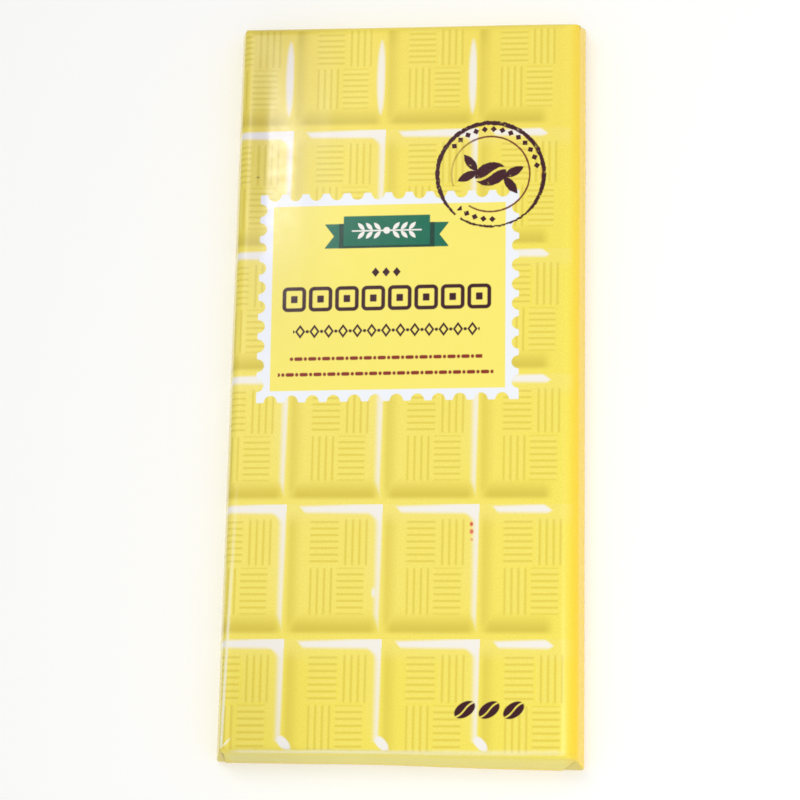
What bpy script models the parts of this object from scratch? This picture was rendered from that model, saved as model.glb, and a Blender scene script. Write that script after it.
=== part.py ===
# Wrapped baking chocolate bar, shut, lying on its back with the printed front up.
# Metres, +Z up, +Y towards the top of the front, origin under the middle of the pack.
import math

import bmesh
import bpy
from mathutils import Vector

# Outer size of the shut pack
PACK_WIDTH = 0.0775
PACK_LENGTH = 0.1635
PACK_THICKNESS = 0.0090

# Lean of the walls: how far the edges of the front lie inside the edges of the base
SIDE_LEAN = 0.00184
END_LEAN = 0.0020

# Setback of each rounded edge, measured along the faces that meet there
LEFT_EDGE = 0.0013
RIGHT_EDGE = 0.0034
END_EDGE = 0.0012
CORNER_EDGE = 0.0012
BASE_EDGE = 0.0006
EDGE_SEGMENTS = 4

# Soft relief of the paper over the front
CROWN_HEIGHT = 0.0002
RELIEF_GRID = 0.004
BUCKLE_HEIGHT = 0.00012
BUCKLE_PITCH = 0.010
BUCKLE_REACH = 0.022
BUCKLE_CENTRE = (-0.022, 0.062)

# Folds of the wrapper at the ends and on the back
FLAP_STEP = 0.00025
SEAM_STEP = 0.0001
SEAM_WIDTH = 0.014
EAR_WIDTH = 0.0038
FLAP_DEPTH = 0.016
FLAP_NARROWING = 0.010

# Look of the coated paper
PAPER_COLOUR = (0.93, 0.76, 0.13, 1.0)
PAPER_ROUGHNESS = 0.28
SHARP_ANGLE = math.radians(30)

# Worked out from the dimensions above
HALF_WIDTH = PACK_WIDTH / 2
HALF_LENGTH = PACK_LENGTH / 2
FRONT_HEIGHT = PACK_THICKNESS - CROWN_HEIGHT
FLAP_HALF_WIDTH = HALF_WIDTH - CORNER_EDGE - EAR_WIDTH
CLEAR = 0.004


def clear_scene():
    for old in list(bpy.data.objects):
        bpy.data.objects.remove(old, do_unlink=True)


def add_object(name, bm):
    mesh = bpy.data.meshes.new(name)
    bm.to_mesh(mesh)
    bm.free()
    made = bpy.data.objects.new(name, mesh)
    bpy.context.collection.objects.link(made)
    return made


def apply_modifier(owner, modifier):
    bpy.context.view_layer.objects.active = owner
    bpy.ops.object.modifier_apply(modifier=modifier.name)


def coated_paper():
    material = bpy.data.materials.new("coated_paper")
    material.use_nodes = True
    shader = material.node_tree.nodes["Principled BSDF"]
    shader.inputs["Base Color"].default_value = PAPER_COLOUR
    shader.inputs["Roughness"].default_value = PAPER_ROUGHNESS
    shader.inputs["Metallic"].default_value = 0.0
    return material


def edge_setback(edge):
    # The rounding of one edge of the blank, by where the edge lies
    middle = (edge.verts[0].co + edge.verts[1].co) / 2
    if middle.z < 0.1 * FRONT_HEIGHT:
        return BASE_EDGE
    if middle.z < 0.9 * FRONT_HEIGHT:
        return CORNER_EDGE
    if abs(middle.x) < 0.5 * HALF_WIDTH:
        return END_EDGE
    return LEFT_EDGE if middle.x < 0 else RIGHT_EDGE


def make_blank():
    # A box whose four walls lean in towards the front, with every edge rounded
    bm = bmesh.new()
    bmesh.ops.create_cube(bm, size=1.0)
    bmesh.ops.scale(bm, vec=(PACK_WIDTH, PACK_LENGTH, FRONT_HEIGHT), verts=bm.verts)
    bmesh.ops.translate(bm, vec=(0, 0, FRONT_HEIGHT / 2), verts=bm.verts)
    for vert in bm.verts:
        if vert.co.z > FRONT_HEIGHT / 2:
            vert.co.x -= math.copysign(SIDE_LEAN, vert.co.x)
            vert.co.y -= math.copysign(END_LEAN, vert.co.y)

    widest = max(LEFT_EDGE, RIGHT_EDGE, END_EDGE, CORNER_EDGE, BASE_EDGE)
    weight = bm.edges.layers.float.new("bevel_weight_edge")
    for edge in bm.edges:
        edge[weight] = edge_setback(edge) / widest

    blank = add_object("chocolate_pack", bm)
    bevel = blank.modifiers.new("rounded edges", "BEVEL")
    bevel.width = widest
    bevel.segments = EDGE_SEGMENTS
    bevel.limit_method = "WEIGHT"
    apply_modifier(blank, bevel)
    return blank


def fit_outer_size(blank):
    # Rounding the base edges draws the outline in a little, so it is let out again
    bm = bmesh.new()
    bm.from_mesh(blank.data)
    width = 2 * max(vert.co.x for vert in bm.verts)
    length = 2 * max(vert.co.y for vert in bm.verts)
    bmesh.ops.scale(bm, vec=(PACK_WIDTH / width, PACK_LENGTH / length, 1.0), verts=bm.verts)
    bm.to_mesh(blank.data)
    bm.free()


def front_part(bm):
    # The flat faces of the front, with their edges and points
    faces = [face for face in bm.faces if face.normal.z > 0.9999]
    edges = {edge for face in faces for edge in face.edges}
    verts = {vert for face in faces for vert in face.verts}
    return faces + list(edges) + list(verts)


def slice_front(bm, axis, low, high):
    count = round((high - low) / RELIEF_GRID)
    for index in range(1, count):
        place = low + (high - low) * index / count
        bmesh.ops.bisect_plane(bm, geom=front_part(bm), plane_co=axis * place, plane_no=axis)
        bm.normal_update()


def relief(across, along, x, y):
    # A low crown over the whole front, and two shallow buckles near the top left
    crown = CROWN_HEIGHT * math.sin(math.pi * across) * math.sin(math.pi * along)
    offset = Vector((x - BUCKLE_CENTRE[0], y - BUCKLE_CENTRE[1]))
    fade = math.exp(-(offset.x / BUCKLE_REACH) ** 2 - (offset.y / BUCKLE_REACH) ** 2)
    fade *= min(1.0, 4 * across, 4 * (1 - across), 8 * along, 8 * (1 - along))
    return crown + BUCKLE_HEIGHT * fade * math.cos(math.tau * offset.x / BUCKLE_PITCH)


def raise_front(blank):
    low_x = -HALF_WIDTH + SIDE_LEAN + LEFT_EDGE
    high_x = HALF_WIDTH - SIDE_LEAN - RIGHT_EDGE
    high_y = HALF_LENGTH - END_LEAN - END_EDGE
    bm = bmesh.new()
    bm.from_mesh(blank.data)
    slice_front(bm, Vector((1, 0, 0)), low_x, high_x)
    slice_front(bm, Vector((0, 1, 0)), -high_y, high_y)
    for vert in bm.verts:
        across = (vert.co.x - low_x) / (high_x - low_x)
        along = (vert.co.y + high_y) / (2 * high_y)
        on_front = all(face.normal.z > 0.9999 for face in vert.link_faces)
        if on_front:
            vert.co.z += relief(across, along, vert.co.x, vert.co.y)
    bm.to_mesh(blank.data)
    bm.free()


def add_cutter(name, outline, depth, group):
    # A closed prism: the outline is one face, and depth is the way to the opposite one
    bm = bmesh.new()
    face = bm.faces.new([bm.verts.new(point) for point in outline])
    swept = bmesh.ops.extrude_face_region(bm, geom=[face])["geom"]
    moved = [item for item in swept if isinstance(item, bmesh.types.BMVert)]
    bmesh.ops.translate(bm, vec=depth, verts=moved)
    bmesh.ops.recalc_face_normals(bm, faces=bm.faces)
    cutter = add_object(name, bm)
    cutter.hide_render = True
    cutter.display_type = "WIRE"
    bpy.context.collection.objects.unlink(cutter)
    group.objects.link(cutter)


def cut_ear(side, end, group):
    # At each corner the side's paper is tucked in first, so it lies one step lower than
    # the flap that is folded over it, along a line that runs in from the front corner
    def wall(x, z):
        y = HALF_LENGTH - END_LEAN * z / FRONT_HEIGHT - FLAP_STEP
        return Vector((side * x, end * y, z))

    def flap_edge(z):
        return FLAP_HALF_WIDTH + (HALF_WIDTH - SIDE_LEAN - FLAP_HALF_WIDTH) * z / FRONT_HEIGHT

    low = -CLEAR
    high = FRONT_HEIGHT + CLEAR
    far = HALF_WIDTH + CLEAR
    outline = [wall(flap_edge(low), low), wall(far, low), wall(far, high), wall(flap_edge(high), high)]
    add_cutter("ear_cutter", outline, Vector((0, end * CLEAR, 0)), group)


def back_outline(seam_edge, side, height):
    # The bare back on one side, between the two end flaps and out past the pack's edge
    tip_y = HALF_LENGTH - FLAP_DEPTH
    tip_x = FLAP_HALF_WIDTH - FLAP_NARROWING
    slope = FLAP_NARROWING / FLAP_DEPTH
    reach_y = HALF_LENGTH + CLEAR
    reach_x = FLAP_HALF_WIDTH + slope * CLEAR
    far = HALF_WIDTH + CLEAR
    half = [(seam_edge, tip_y), (side * tip_x, tip_y), (side * reach_x, reach_y), (side * far, reach_y)]
    whole = half + [(x, -y) for x, y in reversed(half)]
    return [Vector((x, y, height)) for x, y in whole]


def cut_folds(blank):
    group = bpy.data.collections.new("fold cutters")
    bpy.context.scene.collection.children.link(group)
    for side in (-1, 1):
        for end in (-1, 1):
            cut_ear(side, end, group)
        below = Vector((0, 0, -CLEAR))
        add_cutter("back_cutter", back_outline(side * SEAM_WIDTH / 2, side, FLAP_STEP), below, group)
        add_cutter("seam_cutter", back_outline(0, side, SEAM_STEP), below, group)

    cut = blank.modifiers.new("folds", "BOOLEAN")
    cut.operation = "DIFFERENCE"
    cut.operand_type = "COLLECTION"
    cut.collection = group
    cut.solver = "EXACT"
    apply_modifier(blank, cut)
    for cutter in list(group.objects):
        bpy.data.objects.remove(cutter, do_unlink=True)
    bpy.data.collections.remove(group)


def main():
    clear_scene()
    pack = make_blank()
    fit_outer_size(pack)
    raise_front(pack)
    cut_folds(pack)
    pack.data.shade_smooth()
    pack.data.set_sharp_from_angle(angle=SHARP_ANGLE)
    pack.data.materials.clear()
    pack.data.materials.append(coated_paper())


main()
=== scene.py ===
import math
from functools import partial

import bmesh
import bpy
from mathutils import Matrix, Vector, noise


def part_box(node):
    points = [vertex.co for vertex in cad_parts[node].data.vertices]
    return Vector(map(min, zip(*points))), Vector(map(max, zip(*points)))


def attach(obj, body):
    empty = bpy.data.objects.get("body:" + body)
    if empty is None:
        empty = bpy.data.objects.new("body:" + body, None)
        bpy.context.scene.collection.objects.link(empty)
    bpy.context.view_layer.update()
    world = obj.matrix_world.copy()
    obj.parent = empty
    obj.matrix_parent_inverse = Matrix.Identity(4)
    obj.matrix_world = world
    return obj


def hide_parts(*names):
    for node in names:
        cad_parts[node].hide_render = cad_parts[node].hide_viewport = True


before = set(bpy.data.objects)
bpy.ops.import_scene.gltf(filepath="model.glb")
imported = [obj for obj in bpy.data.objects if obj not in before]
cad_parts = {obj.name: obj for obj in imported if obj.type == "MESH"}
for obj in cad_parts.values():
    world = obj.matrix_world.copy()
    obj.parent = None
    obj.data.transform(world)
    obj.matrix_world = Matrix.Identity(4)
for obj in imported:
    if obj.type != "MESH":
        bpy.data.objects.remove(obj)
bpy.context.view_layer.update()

mm = 0.001
packLow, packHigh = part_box("chocolate_pack")
packWidth = (packHigh.x - packLow.x) / mm
packLength = (packHigh.y - packLow.y) / mm
packHeight = (packHigh.z - packLow.z) / mm


# Small helpers

def linear(hexColour):
    # "#RRGGBB" in sRGB to the linear colour that shaders take
    parts = [int(hexColour[place:place + 2], 16) / 255 for place in (1, 3, 5)]
    return [c / 12.92 if c <= 0.04045 else ((c + 0.055) / 1.055) ** 2.4 for c in parts] + [1.0]


# a MapRange goes from 0 to 1 where no other values are given, and with smooth it eases in and out
smooth = {"interpolation_type": "SMOOTHSTEP"}
faraway = 50.0          # added to a distance where its shape isn't wanted


def addNode(tree, kind, *inputs, output=0, **settings):
    # kind is a node group, a math operation in capitals, or the node's type without "ShaderNode"
    # and after a space its operation. inputs are values or links in the sockets' order, or one
    # dictionary of them
    if isinstance(kind, bpy.types.NodeTree):
        kind, settings = "Group", {"node_tree": kind}
    kind, _, operation = kind.partition(" ")
    if kind.isupper():
        kind, operation = "Math", kind
    node = tree.nodes.new(kind if kind.startswith("Node") else "ShaderNode" + kind)
    if operation:
        node.operation = operation
    for name, value in settings.items():
        setattr(node, name, value)
    named = inputs[0] if inputs and isinstance(inputs[0], dict) else dict(enumerate(inputs))
    for key, value in named.items():
        if isinstance(value, bpy.types.NodeSocket):
            tree.links.new(value, node.inputs[key])
        else:
            node.inputs[key].default_value = value
    return node.outputs[output] if node.outputs else node


def startGroup(name, inputNames, outputNames):
    # An empty node group for one part of the print, with plain number sockets
    group = bpy.data.node_groups.new(name, "ShaderNodeTree")
    for names, way in ((inputNames, "INPUT"), (outputNames, "OUTPUT")):
        for socketName in names:
            group.interface.new_socket(name=socketName, in_out=way, socket_type="NodeSocketFloat")
    given = group.nodes.new("NodeGroupInput").outputs
    wanted = group.nodes.new("NodeGroupOutput").inputs
    return group, partial(addNode, group), given, wanted


def apart(add, value, place):
    # How far a value lies from a place, to either side
    return add("ABSOLUTE", add("SUBTRACT", value, place))


def keepCells(add, distance, cell, middle, reach):
    # Keeps a shape in the cells of a row up to this far from the middle one
    beyond = add("GREATER_THAN", apart(add, cell, middle), reach)
    return add("MULTIPLY_ADD", beyond, faraway, distance)


def cloud(add, place, scale, detail, low, high):
    # Soft noise between about low and high; a larger scale gives smaller spots
    spots = add("TexNoise", {"Vector": place, "Scale": scale, "Detail": detail})
    return add("MapRange", spots, 0.3, 0.7, low, high)


def fadeOut(add, mask, limits):
    # Multiplies a mask down by soft edges, each a value, where it is gone and where it is whole
    for value, gone, whole in limits:
        mask = add("MULTIPLY", mask, add("MapRange", value, gone, whole, **smooth))
    return mask


def placeMesh(name, bm):
    mesh = bpy.data.meshes.new(name)
    bm.to_mesh(mesh)
    bm.free()
    made = bpy.data.objects.new(name, mesh)
    bpy.context.scene.collection.objects.link(made)
    return made


def evenSteps(low, high, spacing):
    # Places of the cuts between low and high, at most spacing apart
    count = max(1, math.ceil((high - low) / spacing))
    return [low + (high - low) * index / count for index in range(1, count)]


def ramp(value, low, high):
    # 0 below low, 1 above high, smooth between
    share = min(1.0, max(0.0, (value - low) / (high - low)))
    return share * share * (3 - 2 * share)


# The paper wrapper's shape, in mm

wrapper = {
    "sideLean": 1.84,       # walls lean in over the height
    "endLean": 2.0,
    "leftEdge": 1.3,        # setback of each rounded edge
    "rightEdge": 3.4,
    "endEdge": 1.2,
    "cornerEdge": 0.45,
    "baseEdge": 0.6,
    "roundingLoss": 0.14,   # share of a base edge's setback by which its rounding draws it in
    "edgeSegments": 6,
    "backHeight": 0.25,     # the bare back lies this far above the resting face
    "flapLift": 0.2,        # an end flap's outer face above the paper it covers
    "paper": 0.12,          # thickness of a flap's double paper
    "slice": 1.0,           # spacing of the mesh over the walls and the front
    "slicedTo": 3.2,        # the walls are sliced up to this far below the front
    "besideEdge": 0.3,      # one more cut this near to a rounded edge keeps its sheen narrow
    "crown": 0.2,           # rise of the front towards its middle
    "crownFade": (0.03, 0.04),              # buckles fade over this share of the width and length
    "waviness": 0.05,
    "broadWave": 23.0,
    "fineWave": (6.0, 24.0, 6.0),           # finer waves, drawn out along the pack
    "fineShare": 0.35,
    "endHollow": 0.3,       # the lower end wall is drawn in a little near its middle
    "hollowMiddle": -6.0,
    "hollowReach": 17.0,
    "flapFoot": {-1: 37.0, 1: 33.9},        # where a flap's edges meet the base, left and right
    "flapTop": {-1: 36.9, 1: 38.1},         # and where they would meet the front's height
    "flapDepth": 16.0,
    "flapNarrowing": 10.0,
    "foldStart": 0.3,       # a flap starts this far past the flat front
    "flapSink": 0.04,       # where it lies this far under the paper, so that no edge shows
    "foldEnd": 1.2,         # and has its full lift this far past the front's edge
    "seamEdge": 7.0,        # the back seam's crisp edge, right of the middle
    "seamFade": -11.0,      # and where its other side is lost in the back
    "seamLift": 0.13,
    "seamSink": 0.08,
    "seamRise": 6.0,        # the lift is reached this far from the crisp edge
    "seamTuck": 3.0,        # both ends of the seam run on under the flaps
    "seamWander": 0.25,     # the crisp edge isn't quite straight
    "seamWave": 40.0,
}

bodyHalfWidth = packWidth / 2
bodyHalfLength = packLength / 2 - wrapper["flapLift"]
frontHeight = packHeight - wrapper["crown"]
frontHalfWidth = bodyHalfWidth - wrapper["sideLean"]
frontHalfLength = bodyHalfLength - wrapper["endLean"]
flatLeft = frontHalfWidth - wrapper["leftEdge"]        # where the flat front ends, from the middle
flatRight = frontHalfWidth - wrapper["rightEdge"]
flatEnd = frontHalfLength - wrapper["endEdge"]
wallDrop = frontHeight - wrapper["backHeight"]
flapFoot = wrapper["flapFoot"]
flapTop = wrapper["flapTop"]
flapTip = packLength / 2 - wrapper["flapDepth"]
foldStart = flatEnd + wrapper["foldStart"]
fineOffset = Vector((5.0, 2.0, 9.0))
backFacing = -0.7                          # a face lies on the back if its normal's z is lower
mergeDistance = 1e-7


# The pack isn't quite square: how far each corner stands off, by side in x and y
cornerShift = {
    (-1, -1): (-0.27, 0.35),
    (1, -1): (0.0, -0.40),
    (1, 1): (-0.85, 0.45),
    (-1, 1): (0.1, -0.22),
}


def edgeSetback(edge):
    middle = (edge.verts[0].co + edge.verts[1].co) / 2 / mm
    if middle.z < wrapper["backHeight"] + 0.1 * wallDrop:
        return wrapper["baseEdge"]
    if middle.z < wrapper["backHeight"] + 0.9 * wallDrop:
        return wrapper["cornerEdge"]
    if abs(middle.x) < 0.5 * bodyHalfWidth:
        return wrapper["endEdge"]
    return wrapper["leftEdge"] if middle.x < 0 else wrapper["rightEdge"]


def roundedBlock():
    # A box with leaning walls, every edge rounded by its own setback, as a bmesh
    bm = bmesh.new()
    bmesh.ops.create_cube(bm, size=mm)
    bmesh.ops.scale(bm, vec=(2 * bodyHalfWidth, 2 * bodyHalfLength, wallDrop), verts=bm.verts)
    middleHeight = (wrapper["backHeight"] + wallDrop / 2) * mm
    bmesh.ops.translate(bm, vec=(0, 0, middleHeight), verts=bm.verts)
    for vert in bm.verts:
        if vert.co.z > middleHeight:
            vert.co.x -= math.copysign(wrapper["sideLean"] * mm, vert.co.x)
            vert.co.y -= math.copysign(wrapper["endLean"] * mm, vert.co.y)
        shift = cornerShift[(round(math.copysign(1, vert.co.x)), round(math.copysign(1, vert.co.y)))]
        vert.co += Vector((*shift, 0)) * mm
    weight = bm.edges.layers.float.new("bevel_weight_edge")
    for edge in bm.edges:
        edge[weight] = edgeSetback(edge) / wrapper["rightEdge"]

    block = placeMesh("block", bm)
    bevel = block.modifiers.new("rounded edges", "BEVEL")
    bevel.width = wrapper["rightEdge"] * mm
    bevel.segments = wrapper["edgeSegments"]
    bevel.limit_method = "WEIGHT"
    rounded = bmesh.new()
    rounded.from_object(block, bpy.context.evaluated_depsgraph_get())
    bpy.data.meshes.remove(block.data)         # the block itself goes with it

    # rounding the base edges draws the outline in a little, so it is let out again
    lost = 2 * wrapper["roundingLoss"] * wrapper["baseEdge"]
    growth = (1 + lost / (2 * bodyHalfWidth), 1 + lost / (2 * bodyHalfLength), 1.0)
    bmesh.ops.scale(rounded, vec=growth, verts=rounded.verts)
    return rounded


def withBorder(faces):
    # The faces with their edges and points, each once and in the same order in every run
    edges = dict.fromkeys(edge for face in faces for edge in face.edges)
    verts = dict.fromkeys(vert for face in faces for vert in face.verts)
    return [*faces, *edges, *verts]


def wholeMesh(bm):
    return bm.verts[:] + bm.edges[:] + bm.faces[:]


def backFaces(bm):
    return withBorder([face for face in bm.faces if face.normal.z < backFacing])


def frontAndWalls(bm):
    return withBorder([face for face in bm.faces if face.normal.z >= backFacing])


def cutAt(bm, geom, point, normal):
    bmesh.ops.bisect_plane(bm, geom=geom, dist=mergeDistance, plane_co=point * mm, plane_no=normal)


def cutAcross(bm, axis, places, pick=wholeMesh):
    # Adds loops where planes square to axis meet the picked part of the mesh
    for place in places:
        cutAt(bm, pick(bm), axis * place, axis)
    bm.normal_update()


# Sheet coordinates: millimetres on the paper laid flat, with the front's middle at 0, 0

def aroundEdge(distance, flat, height):
    # Way over a rounded edge and down the wall, for a point this far from the middle
    if distance <= flat:
        return distance
    return flat + math.hypot(distance - flat, max(0.0, frontHeight - height))


def sheetPlace(point, normal, part):
    x, y, z = point / mm
    flat = flatRight if x > 0 else flatLeft
    side = math.copysign(1.0, x)
    end = math.copysign(1.0, y)
    if normal.z < backFacing and part == "flap":
        wall = aroundEdge(bodyHalfLength, flatEnd, wrapper["backHeight"])
        return x, end * (wall + bodyHalfLength - abs(y))
    if normal.z < backFacing:
        # the back's left part is the sheet's left edge, which laps over the right part
        left = x < wrapper["seamEdge"] or part == "seam"
        side = -1.0 if left else 1.0
        wall = aroundEdge(bodyHalfWidth, flatLeft if left else flatRight, wrapper["backHeight"])
        return side * (wall + bodyHalfWidth - side * x), y
    if abs(normal.y) > abs(normal.x) and (part == "flap" or normal.z > -backFacing):
        return x, end * aroundEdge(abs(y), flatEnd, z)
    if abs(normal.y) > abs(normal.x):
        # an ear is the side wall's paper, turned in over the end
        inward = max(0.0, bodyHalfWidth - abs(x))
        return side * aroundEdge(bodyHalfWidth, flat, z), end * (bodyHalfLength + inward)
    return side * aroundEdge(abs(x), flat, z), y


def layOnSheet(bm, part):
    sheet = bm.loops.layers.uv.get("sheet") or bm.loops.layers.uv.new("sheet")
    for face in bm.faces:
        for loop in face.loops:
            loop[sheet].uv = sheetPlace(loop.vert.co, face.normal, part)


# Relief of the paper, in mm

buckles = [   # x, y, half length, height, width to the left and to the right of the crest, lean
    (-31.3, 50.0, 20.0, -0.26, 6.5, 9.5, 0.0),
    (-17.3, 62.0, 12.0, 0.035, 4.5, 5.0, 0.05),
    (-34.0, -76.0, 5.0, 0.07, 2.0, 2.0, -0.7),
    (24.0, -70.0, 9.0, 0.05, 6.0, 6.0, 0.3),
]


def paperRelief(co, normal):
    x, y, z = co / mm
    across = (x + flatLeft) / (flatLeft + flatRight)
    along = (y + flatEnd) / (2 * flatEnd)
    rise = 0.0
    if normal.z > 0.5 and 0 < across < 1 and 0 < along < 1:
        fadeAcross, fadeAlong = wrapper["crownFade"]
        edgeFade = ramp(min(across, 1 - across), 0.0, fadeAcross)
        edgeFade *= ramp(min(along, 1 - along), 0.0, fadeAlong)
        rise += wrapper["crown"] * math.sin(math.pi * across) * math.sin(math.pi * along)
        for bx, by, halfLength, height, leftWidth, rightWidth, lean in buckles:
            dx = x - bx - lean * (y - by)
            share = 1 + dx / leftWidth if dx < 0 else 1 - dx / rightWidth
            dy = (y - by) / halfLength
            rise += edgeFade * height * max(0.0, share) ** 2 * math.exp(-dy * dy)
    if normal.y < -0.5:
        fromMiddle = (x - wrapper["hollowMiddle"]) / wrapper["hollowReach"]
        rise -= wrapper["endHollow"] * math.exp(-fromMiddle ** 2)
    place = Vector((x, y, z))
    broad = noise.noise(place / wrapper["broadWave"])
    fine = noise.noise(Vector([c / size for c, size in zip(place, wrapper["fineWave"])]) + fineOffset)
    return rise + wrapper["waviness"] * (broad + wrapper["fineShare"] * fine)


def raisePaper(bm):
    moves = {vert: vert.normal * paperRelief(vert.co, vert.normal) * mm for vert in bm.verts}
    for vert, move in moves.items():
        vert.co += move
    bm.normal_update()


def wrapperBody():
    bm = roundedBlock()
    xAxis, yAxis, zAxis = Vector((1, 0, 0)), Vector((0, 1, 0)), Vector((0, 0, 1))
    beside = wrapper["besideEdge"]
    cutAcross(bm, xAxis, [beside - flatLeft, *evenSteps(-flatLeft, flatRight, wrapper["slice"])])
    lengthSteps = evenSteps(-flatEnd, flatEnd, wrapper["slice"])
    cutAcross(bm, yAxis, [beside - flatEnd, *lengthSteps, flatEnd - beside])
    wallLow = wrapper["backHeight"] + wrapper["baseEdge"]
    cutAcross(bm, zAxis, evenSteps(wallLow, frontHeight - wrapper["slicedTo"], wrapper["slice"]))
    layOnSheet(bm, "sleeve")
    raisePaper(bm)
    return bm


def trapezoidHalf(side, y):
    # How far a flap reaches to one side where it lies on the back
    return flapFoot[side] - wrapper["flapNarrowing"] * (packLength / 2 - abs(y)) / wrapper["flapDepth"]


def earEdge(side, z):
    # Where a flap's edge runs over the end wall, from the front corner down
    share = (z - wrapper["backHeight"]) / wallDrop
    return flapFoot[side] + (flapTop[side] - flapFoot[side]) * share


def flapLift(co):
    # The flap rises out of the front at the fold, so no edge shows there
    if co.z / mm < wrapper["backHeight"] + 0.1:
        return wrapper["flapLift"]
    share = ramp(abs(co.y) / mm, foldStart, frontHalfLength + wrapper["foldEnd"])
    return -wrapper["flapSink"] + (wrapper["flapLift"] + wrapper["flapSink"]) * share


def endFlap(body, end):
    # The front's paper, folded down over one end and onto the back
    bm = body.copy()
    bm.normal_update()
    yAxis = Vector((0, end, 0))
    cutAcross(bm, yAxis, [foldStart], frontAndWalls)
    cutAcross(bm, yAxis, [flapTip], backFaces)
    slope = wrapper["flapNarrowing"] / wrapper["flapDepth"]
    for side in (-1, 1):
        corner = Vector((side * flapFoot[side], end * packLength / 2, 0))
        cutAt(bm, backFaces(bm), corner, Vector((side, -end * slope, 0)).normalized())
        foot = Vector((side * flapFoot[side], 0, wrapper["backHeight"]))
        lean = (flapTop[side] - flapFoot[side]) / wallDrop
        cutAt(bm, frontAndWalls(bm), foot, Vector((side, 0, -lean)).normalized())
    bm.normal_update()

    spare = []
    for face in bm.faces:
        x, y, z = face.calc_center_median() / mm
        side = 1 if x > 0 else -1
        if face.normal.z < backFacing:
            kept = end * y > flapTip and abs(x) < trapezoidHalf(side, y)
        else:
            kept = end * y > foldStart and abs(x) < earEdge(side, z)
        if not kept:
            spare.append(face)
    bmesh.ops.delete(bm, geom=spare, context="FACES")
    bm.normal_update()
    layOnSheet(bm, "flap")
    moves = {vert: vert.normal * flapLift(vert.co) * mm for vert in bm.verts}
    for vert, move in moves.items():
        vert.co += move
    bmesh.ops.solidify(bm, geom=bm.faces[:], thickness=wrapper["paper"] * mm)
    bmesh.ops.recalc_face_normals(bm, faces=bm.faces)
    return bm


def backSeam():
    # The sheet's left edge, lapped over the right one along the middle of the back
    bm = bmesh.new()
    width = wrapper["seamEdge"] - wrapper["seamFade"]
    length = 2 * (flapTip + wrapper["seamTuck"])
    bmesh.ops.create_grid(bm, x_segments=10, y_segments=60, size=0.5)
    bmesh.ops.scale(bm, vec=(width * mm, length * mm, 1), verts=bm.verts)
    middle = (wrapper["seamEdge"] + wrapper["seamFade"]) / 2
    bmesh.ops.translate(bm, vec=(middle * mm, 0, 0), verts=bm.verts)
    sink = wrapper["seamSink"]
    for vert in bm.verts:
        x, y, _ = vert.co / mm
        share = ramp(x, wrapper["seamFade"], wrapper["seamEdge"] - wrapper["seamRise"])
        lift = -sink + (wrapper["seamLift"] + sink) * share
        wander = wrapper["seamWander"] * noise.noise(Vector((0.0, y / wrapper["seamWave"], 4.0)))
        vert.co.x += wander * mm * share
        vert.co.z = (wrapper["backHeight"] - lift) * mm
    bmesh.ops.reverse_faces(bm, faces=bm.faces[:])
    bm.normal_update()
    layOnSheet(bm, "seam")
    bmesh.ops.solidify(bm, geom=bm.faces[:], thickness=wrapper["paper"] * mm)
    bmesh.ops.recalc_face_normals(bm, faces=bm.faces)
    return bm


def finishPiece(name, bm, material):
    piece = placeMesh(name, bm)
    piece.data.shade_smooth()
    piece.data.set_sharp_from_angle(angle=math.radians(40))
    piece.data.materials.append(material)
    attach(piece, "root")
    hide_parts("chocolate_pack")


# The print on the front: rows and columns of chocolate tiles, in mm

tilePrint = {
    "firstBand": 56.2,      # top edge of the first white band, at the middle of the front
    "rise": 0.0085,         # bands climb to the right
    "stretch": 1.14e-5,     # and lie a little further apart towards the bottom
    "rowScale": 27.025,
    "rowPitch": 28.0,
    "bandRight": -5.33,     # right edge of the middle upright band, in the second row
    "columnStep": 0.42,     # each row stands this far right of the one above
    "columnPitch": 20.25,
    "columnGrowth": 0.09,
    "tileWidth": 20.35,
    "ridgePitch": 1.37,
    "ridgePitchAcross": 1.45,
    "soft": 0.46,           # the white bands' edges fade over this far to both sides
    "innerSoft": 0.8,       # and more slowly towards the tile's own middle: below a level band
    "leftSoft": 0.54,       # and left of an upright one
    "streakSoft": 0.5,
    "lowShift": 0.8,        # the lower two fields of ridges stand this far left of the upper two
    "fieldsMeet": (11.45, 13.1),            # right and down of the tile's upper left corner
    "streakMiddle": 15.5,   # the top row's streak: its middle, below the tile's top
    "streakHalf": (1.35, 9.3),
    "footMiddle": (0.35, 20.9),             # of the small foot under the bottom row's bands
    "footHalf": (1.9, 0.95),
    # how far each white covers the tile; the bands' cover drops a little from their top down
    "strongest": {"band": (0.97, 0.86), "streak": 0.9, "glow": 0.06},
    "printEnds": ((-79.6, -79.2), (79.6, 78.6)),        # where the ink stops and starts along y
}


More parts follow.
